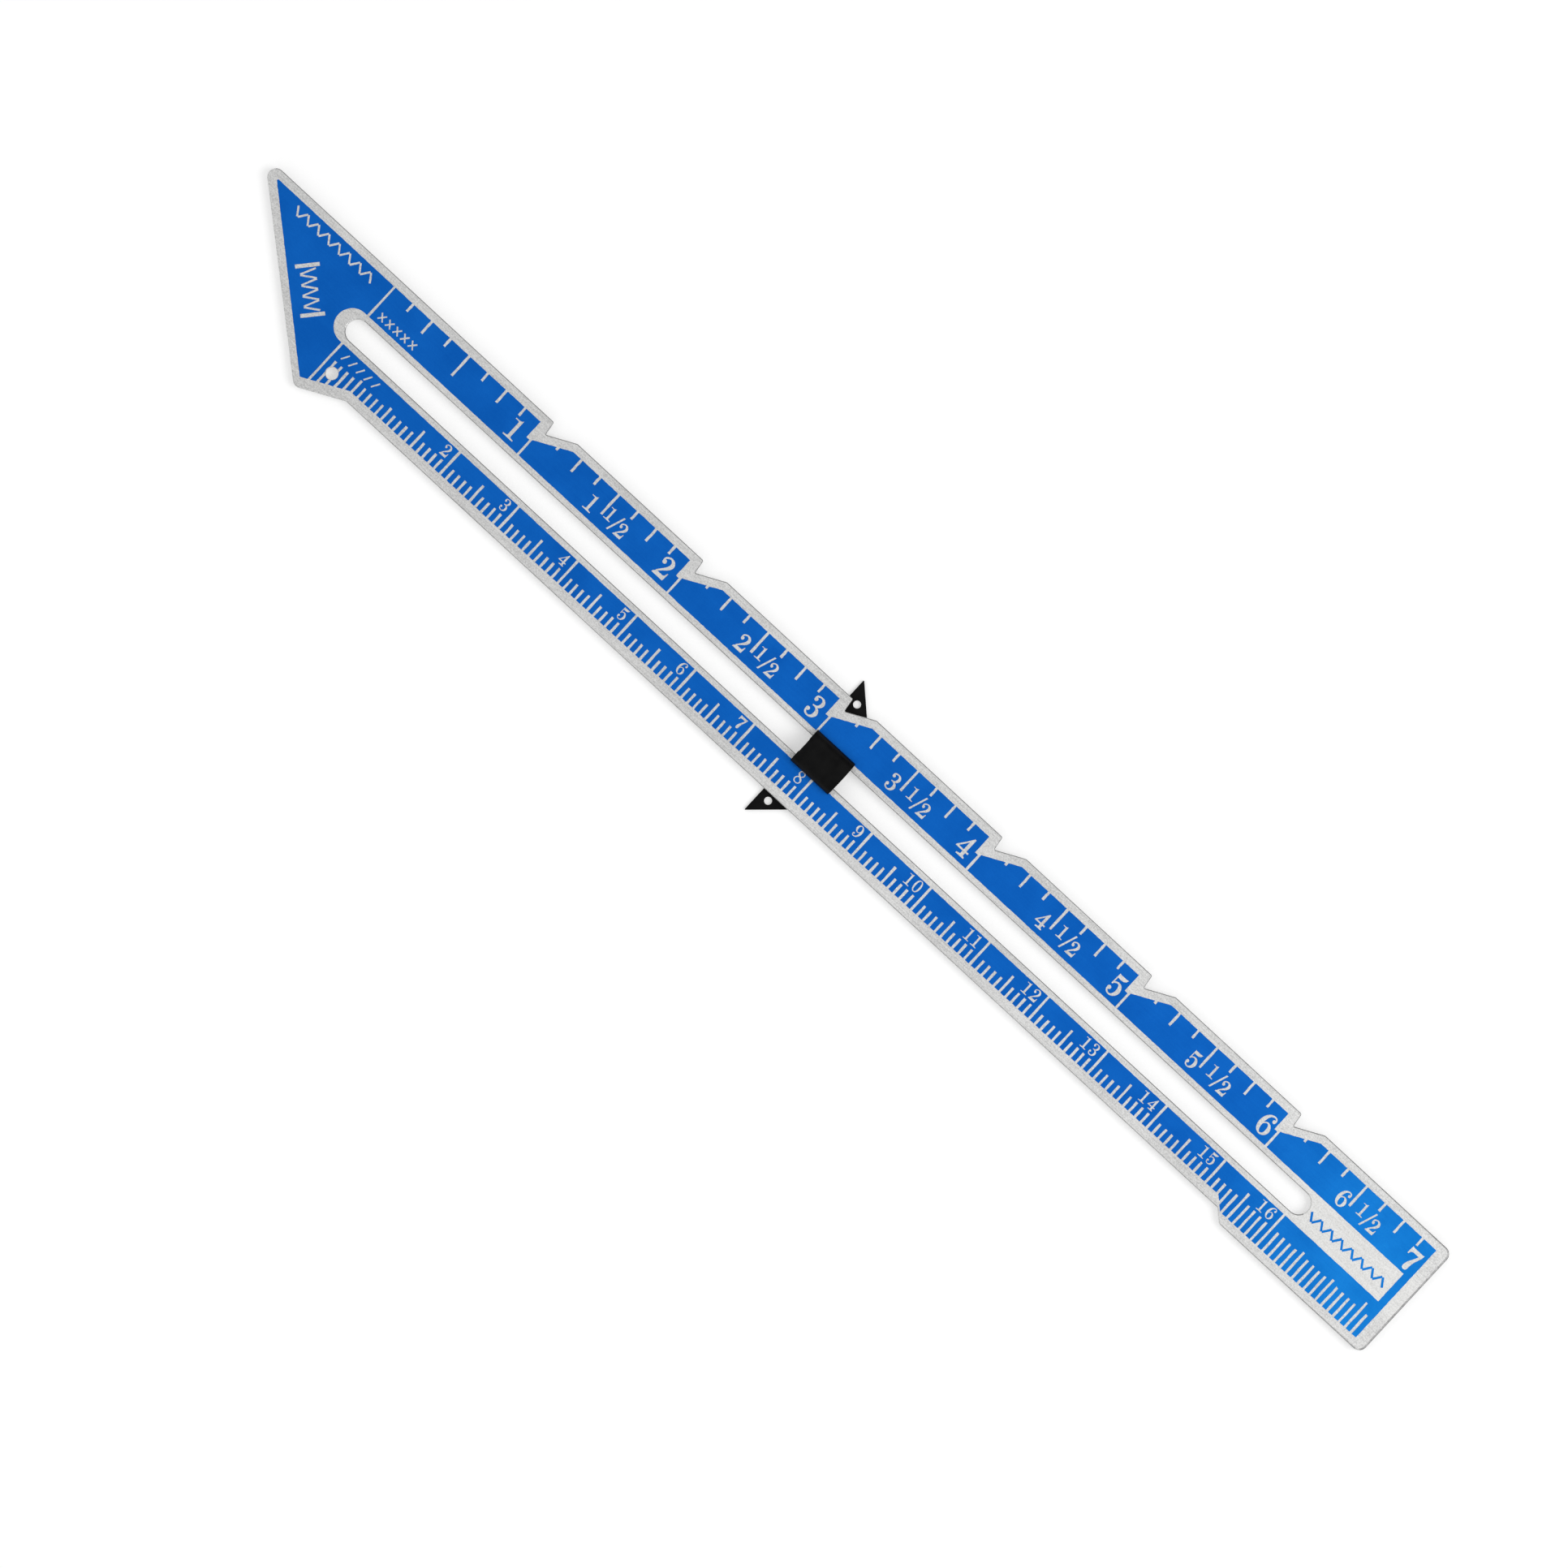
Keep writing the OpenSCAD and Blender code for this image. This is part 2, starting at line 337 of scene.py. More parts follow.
# Corners and ends of the blade, from its sizes
foot = Vector((-FOOT_BACK, -METRIC_SIDE - FOOT_DROP))
point = meet(foot, 180 - POINT_ANGLE, (0, INCH_SIDE), 0)
tip_x = point.x + TIP_R / math.tan(math.radians(POINT_ANGLE / 2)) - TIP_R
end_x = tip_x + BLADE_L
wide_x = end_x - WIDE_L
wide_side = METRIC_SIDE + WIDE_DROP
notch_span = NOTCH_PAST + NOTCH_LEAN + NOTCH_DEPTH / math.tan(math.radians(RAMP_ANGLE))
notches = math.floor((end_x - END_R - notch_span) / INCH)
slot_start = SLOT_R - SLOT_BACK
slot_stop = end_x - SLOT_END_GAP - SLOT_R

# Edges of the blue face
face_top = INCH_SIDE - MARGIN_INCH
face_bottom = -METRIC_SIDE + MARGIN_METRIC
face_wide_bottom = -wide_side + MARGIN_WIDE
face_end = end_x - MARGIN_END
window_end = face_end - END_BAR
gap_floor = face_top - GAP_DEPTH


def blade_outline():
    corners = [(point.x, point.y, TIP_R)]
    for k in range(1, notches + 1):
        x = k * INCH
        corners += [
            (x + NOTCH_PAST, INCH_SIDE, STEP_R),
            (x + NOTCH_PAST + NOTCH_LEAN, INCH_SIDE - NOTCH_DEPTH, NOTCH_R),
            (x + notch_span, INCH_SIDE, RAMP_TOP_R),
        ]
    corners += [
        (end_x, INCH_SIDE, END_R),
        (end_x, -wide_side, END_R),
        (wide_x + WIDE_RUN, -wide_side, WIDE_R),
        (wide_x, -METRIC_SIDE, NOTCH_R),
        (foot.x + FOOT_DROP / math.tan(math.radians(RAMP_ANGLE)), -METRIC_SIDE, NOTCH_R),
        (foot.x, foot.y, FOOT_R),
    ]
    return rounded(corners)


def slot_outline():
    right = [Vector((slot_stop, 0)) + aim(a) * SLOT_R for a in range(-90, 91, ARC_STEP)]
    left = [Vector((slot_start, 0)) + aim(a) * SLOT_R for a in range(90, 271, ARC_STEP)]
    return right + left


def face_outline():
    """The blue face's edge, with a bare gap at each notch."""
    side = beside(foot, 180 - POINT_ANGLE, -MARGIN_POINT)
    low = meet(side, 180 - POINT_ANGLE, beside(foot, RAMP_ANGLE, MARGIN_FOOT), RAMP_ANGLE)
    slope_x = wide_x - FACE_SLOPE_LEAD
    slope_run = WIDE_RUN * (face_bottom - face_wide_bottom) / WIDE_DROP
    points = [meet(low, 180 - POINT_ANGLE - FACE_TURN, (0, face_top), 0)]
    for k in range(1, notches + 1):
        x = k * INCH
        ramp_foot = (x + NOTCH_PAST + NOTCH_LEAN, INCH_SIDE - NOTCH_DEPTH)
        inner = beside(ramp_foot, RAMP_ANGLE, -MARGIN_INCH)
        gap_right = x + LINE_W / 2
        points += [
            Vector((x - GAP_BACK, face_top)),
            Vector((x - GAP_BACK, gap_floor)),
            Vector((gap_right, gap_floor)),
            meet(inner, RAMP_ANGLE, (gap_right, 0), 90),
            meet(inner, RAMP_ANGLE, (0, face_top), 0),
        ]
    points += [
        Vector((face_end, face_top)),
        Vector((face_end, face_wide_bottom)),
        Vector((slope_x + slope_run, face_wide_bottom)),
        Vector((slope_x, face_bottom)),
        meet(low, RAMP_ANGLE, (0, face_bottom), 0),
        low,
    ]
    return rounded([(*points[0], FACE_TIP_R), *((*p, 0) for p in points[1:])])


def window_outline():
    start = WINDOW_R - WINDOW_BACK
    arc = [Vector((start, 0)) + aim(a) * WINDOW_R for a in range(90, 271, WINDOW_STEP)]
    return arc + [Vector((window_end, -WINDOW_R)), Vector((window_end, WINDOW_R))]


def rough(points, dice):
    """The loop with its long edges split and every point a little off, as dye creeps at a mask."""
    out = []
    for a, b in zip(points, points[1:] + points[:1]):
        steps = max(1, math.ceil((b - a).length / EDGE_STEP))
        for k in range(steps):
            jitter = Vector((dice.uniform(-1, 1), dice.uniform(-1, 1))) * EDGE_ROUGH
            out.append(a.lerp(b, k / steps) + jitter)
    return out


# Numerals: (width, solid shapes, brush strokes of x, y and half width, round dots), one unit high

DIGITS = {
    "0": (0.64, [], [
        [(0.32, 0.98, 0.035), (0.15, 0.86, 0.06), (0.085, 0.5, 0.085), (0.15, 0.14, 0.06),
         (0.32, 0.02, 0.035), (0.49, 0.14, 0.06), (0.555, 0.5, 0.085), (0.49, 0.86, 0.06),
         (0.32, 0.98, 0.035)],
    ], []),
    "1": (0.56, [
        [(0.21, 0.04), (0.37, 0.04), (0.37, 1.0), (0.3, 0.94), (0.2, 0.905), (0, 0.91), (0, 0.855),
         (0.16, 0.855), (0.21, 0.82)],
        [(0, 0), (0.56, 0), (0.56, 0.06), (0.42, 0.075), (0.37, 0.11), (0.21, 0.11), (0.15, 0.075),
         (0, 0.06)],
    ], [], []),
    "2": (0.65, [
        [(0, 0), (0.62, 0), (0.65, 0.38), (0.6, 0.38), (0.56, 0.24), (0.5, 0.19), (0.14, 0.19),
         (0.02, 0.07)],
    ], [
        [(0.08, 0.7, 0.035), (0.11, 0.86, 0.045), (0.29, 0.965, 0.04), (0.46, 0.91, 0.07),
         (0.54, 0.75, 0.095), (0.47, 0.56, 0.08), (0.3, 0.37, 0.05), (0.12, 0.16, 0.04)],
    ], [(0.15, 0.69, 0.1)]),
    "3": (0.63, [], [
        [(0.08, 0.79, 0.035), (0.13, 0.92, 0.045), (0.3, 0.97, 0.035), (0.44, 0.92, 0.06),
         (0.51, 0.77, 0.085), (0.45, 0.61, 0.065), (0.34, 0.535, 0.035), (0.18, 0.51, 0.028)],
        [(0.2, 0.51, 0.025), (0.36, 0.495, 0.035), (0.48, 0.42, 0.07), (0.53, 0.26, 0.095),
         (0.46, 0.09, 0.065), (0.3, 0.01, 0.035), (0.13, 0.06, 0.045), (0.06, 0.2, 0.04)],
    ], [(0.14, 0.78, 0.09), (0.12, 0.25, 0.095)]),
    "4": (0.69, [
        [(0.4, 0.04), (0.56, 0.04), (0.56, 0.99), (0.51, 0.99), (0.4, 0.8)],
        [(0, 0.255), (0.69, 0.255), (0.69, 0.34), (0.02, 0.34)],
        [(0.22, 0), (0.66, 0), (0.66, 0.06), (0.58, 0.1), (0.36, 0.1), (0.22, 0.06)],
    ], [
        [(0.52, 0.975, 0.035), (0.29, 0.63, 0.035), (0.045, 0.3, 0.04)],
    ], []),
    "5": (0.63, [
        [(0.09, 1.0), (0.16, 0.98), (0.48, 0.98), (0.585, 1.0), (0.54, 0.88), (0.44, 0.81),
         (0.3, 0.79), (0.16, 0.8), (0.08, 0.83)],
    ], [
        [(0.115, 0.98, 0.03), (0.09, 0.44, 0.03)],
        [(0.085, 0.45, 0.028), (0.16, 0.565, 0.035), (0.31, 0.625, 0.04), (0.46, 0.55, 0.075),
         (0.53, 0.33, 0.1), (0.46, 0.12, 0.07), (0.3, 0.01, 0.035), (0.13, 0.06, 0.04),
         (0.06, 0.2, 0.035)],
    ], [(0.12, 0.24, 0.095)]),
    "6": (0.68, [], [
        [(0.6, 0.8, 0.035), (0.56, 0.93, 0.038), (0.43, 0.97, 0.035), (0.26, 0.89, 0.055),
         (0.14, 0.69, 0.085), (0.105, 0.4, 0.1), (0.17, 0.14, 0.075), (0.34, 0.01, 0.035),
         (0.52, 0.1, 0.065), (0.58, 0.3, 0.095), (0.51, 0.5, 0.065), (0.37, 0.575, 0.035),
         (0.23, 0.5, 0.03), (0.16, 0.38, 0.03)],
    ], [(0.54, 0.79, 0.085)]),
    "7": (0.68, [
        [(0.02, 1.0), (0.09, 0.97), (0.6, 0.97), (0.68, 0.99), (0.65, 0.86), (0.58, 0.79),
         (0.2, 0.79), (0.1, 0.74), (0.06, 0.62), (0, 0.62)],
    ], [
        [(0.6, 0.88, 0.07), (0.53, 0.68, 0.065), (0.44, 0.48, 0.08), (0.37, 0.28, 0.115),
         (0.34, 0.1, 0.13)],
    ], [(0.34, 0.09, 0.13)]),
    "8": (0.66, [], [
        [(0.33, 0.98, 0.04), (0.15, 0.91, 0.045), (0.11, 0.75, 0.06), (0.22, 0.6, 0.075),
         (0.42, 0.47, 0.085), (0.56, 0.33, 0.075), (0.57, 0.17, 0.05), (0.48, 0.05, 0.045),
         (0.33, 0.01, 0.04), (0.15, 0.06, 0.05), (0.07, 0.24, 0.055), (0.14, 0.42, 0.045),
         (0.3, 0.52, 0.035), (0.47, 0.63, 0.04), (0.55, 0.78, 0.05), (0.49, 0.92, 0.045),
         (0.33, 0.98, 0.04)],
    ], []),
    "9": (0.68, [], [
        [(0.08, 0.2, 0.035), (0.12, 0.07, 0.038), (0.25, 0.03, 0.035), (0.42, 0.11, 0.055),
         (0.54, 0.31, 0.085), (0.575, 0.6, 0.1), (0.51, 0.86, 0.075), (0.34, 0.99, 0.035),
         (0.16, 0.9, 0.065), (0.1, 0.7, 0.095), (0.17, 0.5, 0.065), (0.31, 0.425, 0.035),
         (0.45, 0.5, 0.03), (0.52, 0.62, 0.03)],
    ], [(0.14, 0.21, 0.085)]),
    "/": (0.45, [
        [(0, 0), (0.1, 0), (0.45, 1.0), (0.35, 1.0)],
    ], [], []),
}
DIGIT_GAP = 0.2


def smooth(points, steps=5):
    """Curve through brush points (x, y, half width)."""
    ends = [points[0]] + points + [points[-1]]
    if points[0] == points[-1]:
        ends = [points[-2]] + points + [points[1]]
    out = []
    for p0, p1, p2, p3 in zip(ends, ends[1:], ends[2:], ends[3:]):
        p0, p1, p2, p3 = Vector(p0), Vector(p1), Vector(p2), Vector(p3)
        for k in range(steps):
            t = k / steps
            near = 2 * p1 + (p2 - p0) * t
            out.append((near + (2 * p0 - 5 * p1 + 4 * p2 - p3) * t * t
                        + (3 * p1 - p0 - 3 * p2 + p3) * t ** 3) / 2)
    return out + [Vector(points[-1])]


def brush(points):
    """Quads along a stroke."""
    curve = smooth(points)
    sides = []
    for i, p in enumerate(curve):
        ahead = (curve[min(i + 1, len(curve) - 1)] - curve[max(i - 1, 0)]).xy.normalized()
        across = Vector((-ahead.y, ahead.x)) * p.z
        sides.append((p.xy + across, p.xy - across))
    return [[a[0], a[1], b[1], b[0]] for a, b in zip(sides, sides[1:])]


def numeral(text, x, y, height, weight=1.0, from_right=False):
    """Shapes of a number whose foot stands at y, and whose left or right side is at x."""
    if from_right:
        x -= height * (sum(DIGITS[c][0] for c in text) + DIGIT_GAP * (len(text) - 1))
    shapes = []
    for character in text:
        width, solids, strokes, dots = DIGITS[character]
        glyph = [[Vector(p) for p in solid] for solid in solids]
        for stroke in strokes:
            glyph += brush([(a, b, w * weight) for a, b, w in stroke])
        glyph += [ring(a, b, r * weight, DOT_SIDES) for a, b, r in dots]
        shapes += [[Vector((x, y)) + p * height for p in shape] for shape in glyph]
        x += height * (width + DIGIT_GAP)
    return shapes


# Numbers on the scales: heights, feet, and how far each stands to the left or right of its line
INCH_DIGIT_H = 2.89
INCH_DIGIT_FOOT = 2.98
LAST_INCH = 7
LAST_INCH_FOOT = 2.84
INCH_DIGIT_RIGHT = {1: 1.58, 2: 1.42, 3: 1.31, 4: 1.11, 5: 0.91, 6: 0.82, 7: 1.47}
HALF_DIGIT_H = 2.3
HALF_DIGIT_FOOT = 3.0
HALF_DIGIT_RIGHT = {1: 1.13, 2: 0.81, 3: 0.69, 4: 0.68, 5: 0.49, 6: 0.42}
FRACTION_LEFT = {1: 0.4, 2: 0.57, 3: 0.95, 4: 0.94, 5: 1.11, 6: 1.13}
METRIC_DIGIT_H = 1.65
METRIC_DIGIT_FOOT = -4.18
METRIC_DIGIT_RIGHT = 0.85
METRIC_DIGIT_WEIGHT = 0.9
LAST_CM = 16

# The fraction of a half: each character's x, foot and height
FRACTION = {"1": (0.0, 3.85, 1.85), "/": (1.2, 3.05, 2.5), "2": (2.22, 3.12, 1.95)}


def numbers():
    """Shapes of every number on both scales."""
    shapes = []
    for n, right in INCH_DIGIT_RIGHT.items():
        foot_y = LAST_INCH_FOOT if n == LAST_INCH else INCH_DIGIT_FOOT
        shapes += numeral(str(n), n * INCH - right, foot_y, INCH_DIGIT_H, from_right=True)
    for n, right in HALF_DIGIT_RIGHT.items():
        x = (n + 0.5) * INCH
        shapes += numeral(str(n), x - right, HALF_DIGIT_FOOT, HALF_DIGIT_H, from_right=True)
        for character, (past, foot_y, height) in FRACTION.items():
            shapes += numeral(character, x + FRACTION_LEFT[n] + past, foot_y, height)
    for n in range(2, LAST_CM + 1):
        x = 10 * n - METRIC_BACK - METRIC_DIGIT_RIGHT
        shapes += numeral(str(n), x, METRIC_DIGIT_FOOT, METRIC_DIGIT_H, METRIC_DIGIT_WEIGHT, True)
    return shapes


# Geometry Nodes

def new_tree(name, inputs):
    """A geometry tree with named inputs: name -> (socket type, value)."""
    tree = bpy.data.node_groups.new(name, "GeometryNodeTree")
    for label, (kind, value) in inputs.items():
        socket = tree.interface.new_socket(label, in_out="INPUT", socket_type="NodeSocket" + kind)
        if value is not None:
            socket.default_value = value
    tree.interface.new_socket("Geometry", in_out="OUTPUT", socket_type="NodeSocketGeometry")
    return tree


def add(tree, kind, wires=None, **settings):
    """A node with its settings, and its inputs wired to sockets or set to values."""
    node = tree.nodes.new(kind)
    for key, value in settings.items():
        setattr(node, key, value)
    for key, source in (wires or {}).items():
        if isinstance(source, bpy.types.NodeSocket):
            tree.links.new(source, node.inputs[key])
        else:
            node.inputs[key].default_value = source
    return node


def maths(tree, operation, a, b=0.0, c=0.0):
    """The result of a Math node on sockets or values."""
    node = add(tree, "ShaderNodeMath", {0: a, 1: b}, operation=operation)
    if operation == "MULTIPLY_ADD":
        if isinstance(c, bpy.types.NodeSocket):
            tree.links.new(c, node.inputs[2])
        else:
            node.inputs[2].default_value = c
    return node.outputs[0]


def finish_marks(tree, geometry, given):
    """Realizes the marks, makes their corners a little uneven and gives them their material."""
    real = add(tree, "GeometryNodeRealizeInstances", {"Geometry": geometry})
    jitter = add(tree, "FunctionNodeRandomValue", {"Seed": given["Seed"]}, data_type="FLOAT_VECTOR")
    low = add(tree, "ShaderNodeCombineXYZ", {
        "X": maths(tree, "MULTIPLY", given["Uneven"], -1.0),
        "Y": maths(tree, "MULTIPLY", given["Uneven"], -1.0),
    })
    high = add(tree, "ShaderNodeCombineXYZ", {"X": given["Uneven"], "Y": given["Uneven"]})
    tree.links.new(low.outputs[0], jitter.inputs["Min"])
    tree.links.new(high.outputs[0], jitter.inputs["Max"])
    moved = add(tree, "GeometryNodeSetPosition", {
        "Geometry": real.outputs[0],
        "Offset": jitter.outputs["Value"],
    })
    dressed = add(tree, "GeometryNodeSetMaterial", {
        "Geometry": moved.outputs[0],
        "Material": given["Material"],
    })
    out = tree.nodes.new("NodeGroupOutput")
    tree.links.new(dressed.outputs[0], out.inputs[0])


def graduation_tree():
    """Graduation lines at an even pitch, longer at every middle and every long number."""
    tree = new_tree("graduation lines", {
        "Count": ("Int", 10),
        "First": ("Int", 1),
        "Pitch": ("Float", 1.0),
        "Zero": ("Float", 0.0),
        "Base": ("Float", 0.0),
        "Direction": ("Float", 1.0),
        "Width": ("Float", 0.3),
        "Short": ("Float", 1.0),
        "Middle": ("Float", 1.5),
        "Long": ("Float", 2.0),
        "Middle Every": ("Int", 5),
        "Long Every": ("Int", 10),
        "Uneven": ("Float", 0.0),
        "Seed": ("Int", 0),
        "Material": ("Material", None),
    })
    given = tree.nodes.new("NodeGroupInput").outputs
    start_x = maths(tree, "MULTIPLY_ADD", given["First"], given["Pitch"], given["Zero"])
    start = add(tree, "ShaderNodeCombineXYZ", {"X": start_x, "Y": given["Base"]})
    offset = add(tree, "ShaderNodeCombineXYZ", {"X": given["Pitch"]})
    row = add(tree, "GeometryNodeMeshLine", {
        "Count": given["Count"],
        "Start Location": start.outputs[0],
        "Offset": offset.outputs[0],
    })
    index = tree.nodes.new("GeometryNodeInputIndex").outputs[0]
    number = maths(tree, "ADD", index, given["First"])
    length = given["Short"]
    for size in ("Middle", "Long"):
        left_over = maths(tree, "MODULO", number, given[size + " Every"])
        chosen = add(tree, "GeometryNodeSwitch", {
            "Switch": maths(tree, "LESS_THAN", left_over, 0.5),
            "False": length,
            "True": given[size],
        }, input_type="FLOAT")
        length = chosen.outputs[0]
    half = maths(tree, "MULTIPLY", maths(tree, "MULTIPLY", length, 0.5), given["Direction"])
    centre = add(tree, "ShaderNodeCombineXYZ", {"Y": half})
    centred = add(tree, "GeometryNodeSetPosition", {
        "Geometry": row.outputs[0],
        "Offset": centre.outputs[0],
    })
    size = add(tree, "ShaderNodeCombineXYZ", {"X": given["Width"], "Y": length, "Z": 1.0})
    line = add(tree, "GeometryNodeMeshGrid", {
        "Size X": 1.0,
        "Size Y": 1.0,
        "Vertices X": 2,
        "Vertices Y": LINE_POINTS,
    })
    lines = add(tree, "GeometryNodeInstanceOnPoints", {
        "Points": centred.outputs[0],
        "Instance": line.outputs[0],
        "Scale": size.outputs[0],
    })
    finish_marks(tree, lines.outputs[0], given)
    return tree


def stitch_tree():
    """A row of stitches along a straight line; a slant makes them a zigzag, a lean tilts them alike."""
    tree = new_tree("stitch row", {
        "Count": ("Int", 10),
        "Start": ("Vector", (0, 0, 0)),
        "Pitch": ("Float", 1.0),
        "Length": ("Float", 1.0),
        "Width": ("Float", 0.3),
        "Turn": ("Float", 0.0),
        "Slant": ("Float", 0.0),
        "Lean": ("Float", 0.0),
        "Uneven": ("Float", 0.0),
        "Seed": ("Int", 0),
        "Material": ("Material", None),
    })
    given = tree.nodes.new("NodeGroupInput").outputs
    offset = add(tree, "ShaderNodeCombineXYZ", {
        "X": maths(tree, "MULTIPLY", given["Pitch"], maths(tree, "COSINE", given["Turn"])),
        "Y": maths(tree, "MULTIPLY", given["Pitch"], maths(tree, "SINE", given["Turn"])),
    })
    row = add(tree, "GeometryNodeMeshLine", {
        "Count": given["Count"],
        "Start Location": given["Start"],
        "Offset": offset.outputs[0],
    })
    index = tree.nodes.new("GeometryNodeInputIndex").outputs[0]
    side = maths(tree, "MULTIPLY_ADD", maths(tree, "MODULO", index, 2.0), 2.0, -1.0)
    lean = maths(tree, "ADD", given["Turn"], given["Lean"])
    angle = maths(tree, "MULTIPLY_ADD", side, given["Slant"], lean)
    turn = add(tree, "ShaderNodeCombineXYZ", {"Z": angle})
    size = add(tree, "ShaderNodeCombineXYZ", {"X": given["Length"], "Y": given["Width"], "Z": 1.0})
    stitch = add(tree, "GeometryNodeMeshGrid", {
        "Size X": 1.0,
        "Size Y": 1.0,
        "Vertices X": STITCH_POINTS,
        "Vertices Y": 2,
    })
    stitches = add(tree, "GeometryNodeInstanceOnPoints", {
        "Points": row.outputs[0],
        "Instance": stitch.outputs[0],
        "Rotation": turn.outputs[0],
        "Scale": size.outputs[0],
    })
    finish_marks(tree, stitches.outputs[0], given)
    return tree


def marks(tree, material, **values):
    """The flat shapes that a tree makes, as loops of ruler points."""
    seat = bpy.data.objects.new("marks", bpy.data.meshes.new("marks"))
    bpy.context.scene.collection.objects.link(seat)
    modifier = seat.modifiers.new("marks", "NODES")
    modifier.node_group = tree
    values = {key.replace("_", " "): value for key, value in values.items()}
    values["Material"] = material
    for item in tree.interface.items_tree:
        if item.in_out == "INPUT" and item.name in values:
            modifier[item.identifier] = values[item.name]
    seat.update_tag()
    evaluated = seat.evaluated_get(bpy.context.evaluated_depsgraph_get())
    mesh = bpy.data.meshes.new_from_object(evaluated)
    loops = [[mesh.vertices[i].co.xy.copy() for i in face.vertices] for face in mesh.polygons]
    bpy.data.objects.remove(seat)
    bpy.data.meshes.remove(mesh)
    return loops


def graduations(tree, material):
    """Every graduation line, as holes in the blue face."""
    inch_count = math.floor((face_end - TICK_W) * 8 / INCH)
    metric_count = math.floor(face_end + METRIC_BACK - TICK_W)
    low = WINDOW_R - LINE_OVERLAP
    top = face_top + OVERRUN
    base = -wide_side
    common = {"Uneven": TICK_ROUGH}
    holes = marks(tree, material, Count=notches + 1, First=0, Pitch=INCH, Base=low, Width=LINE_W,
                  Long=INCH_SIDE - WINDOW_R, Long_Every=1, Seed=SEED, **common)
    eighths = marks(tree, material, Count=inch_count, Pitch=INCH / 8, Base=top, Direction=-1.0,
                    Width=TICK_W, Short=EIGHTH_L + OVERRUN, Middle=QUARTER_L + OVERRUN,
                    Long=HALF_L + OVERRUN, Middle_Every=2, Long_Every=4, Seed=SEED + 1, **common)
    holes += [loop for loop in eighths if not near_inch(loop)]
    millimetres = marks(tree, material, Count=metric_count, Zero=-METRIC_BACK, Base=base, Width=TICK_W,
                        Short=face_bottom + MM_L - base, Middle=face_bottom + FIVE_L - base,
                        Long=-low - base, Seed=SEED + 2, **common)
    short = face_bottom + SHORT_FIVE_L
    for loop in millimetres:
        nearest = round(middle_x(loop) + METRIC_BACK)
        if nearest in SHORT_FIVES:
            if min(p.y for p in loop) > short:
                continue
            loop = [Vector((p.x, min(p.y, short))) for p in loop]
        holes.append(loop)
    holes += marks(tree, material, Count=1, First=0, Zero=-METRIC_BACK, Base=foot.y, Width=LINE_W,
                   Long=ZERO_LINE_TOP - foot.y, Long_Every=1, Seed=SEED + 3, **common)
    return holes


def middle_x(loop):
    return sum(p.x for p in loop) / len(loop)


def near_inch(loop):
    """Whether a line stands at a whole inch, where a longer one is already."""
    return round(middle_x(loop) / INCH * 8) % 8 == 0


# Meshes

def cut_sheet(outline, holes=(), islands=(), seams=()):
    """Triangles of the outline less the holes, plus the islands: (points, triangles)."""
    points = []
    faces = []
    for loop in [outline, *islands, *holes]:
        faces.append(list(range(len(points), len(points) + len(loop))))
        points += turned(loop, True)
    edges = []
    for a, b in seams:
        edges.append((len(points), len(points) + 1))
        points += [a, b]
    out, _, triangles, _, _, origins = delaunay_2d_cdt(points, edges, faces, 1, SAME_IN_SHEET)
    first_hole = 1 + len(islands)
    kept = []
    for triangle, origin in zip(triangles, origins):
        on_island = any(1 <= i < first_hole for i in origin)
        holed = any(i >= first_hole for i in origin)
        if on_island or (0 in origin and not holed):
            kept.append(triangle)
    return out, kept


def rolled_levels(thickness, front_roll, back_roll, steps=4):
    """(inset, height) pairs up the side of a punched sheet with rolled edges."""
    levels = []
    for k in range(steps + 1):
        a = math.radians(90 * k / steps)
        levels.append((back_roll * (1 - math.sin(a)), back_roll * (1 - math.cos(a))))
    for k in range(steps + 1):
        a = math.radians(90 * k / steps)
        levels.append((front_roll * (1 - math.cos(a)), thickness - front_roll * (1 - math.sin(a))))
    return levels


def side_finish(facing, in_hole):
    """The material a side gets by the way it faces: bare metal, or a painted shade standing for a dark
    reflection.
    """
    if facing.y < -MILD_SHADE_FACING:
        return MILD_PAINTED_SHADE
    in_shade = facing.y > STRONG_SHADE_IN_HOLE_FACING if in_hole else facing.dot(aim(STRONG_SHADE_TOWARDS)) > 0
    return STRONG_PAINTED_SHADE if in_shade else BARE


def punched_sheet(name, outline, holes, levels, place, materials, seams=(), bent=False):
    """A sheet punched to an outline with holes, in one material or in bare metal and two painted shades."""
    loops = [turned(outline, True)] + [turned(hole, False) for hole in holes]
    shape = bmesh.new()
    for loop in loops:
        rows = []
        for amount, height in levels:
            moved = inset(loop, amount)
            rows.append([shape.verts.new(place(p.x, p.y, height)) for p in moved])
        count = len(loop)
        for i in range(count):
            j = (i + 1) % count
            run = loop[j] - loop[i]
            # Sides facing one way get a painted shade instead of the bare metal
            shade_index = side_finish(Vector((run.y, -run.x)).normalized(), loop is not loops[0])
            for low, high in zip(rows, rows[1:]):
                side = shape.faces.new((low[i], low[j], high[j], high[i]))
                side.material_index = shade_index if len(materials) > 1 else BARE
                side.smooth = True
    for (amount, height), front in ((levels[0], False), (levels[-1], True)):
        flat = [inset(loop, amount) for loop in loops]
        points, triangles = cut_sheet(flat[0], flat[1:], seams=seams)
        verts = [shape.verts.new(place(p.x, p.y, height)) for p in points]
        for triangle in triangles:
            corners = [verts[i] for i in triangle]
            shape.faces.new(corners if front else corners[::-1]).smooth = bent
    return finished(name, shape, materials, BENT_SHARP_ANGLE if bent else SHARP_ANGLE)


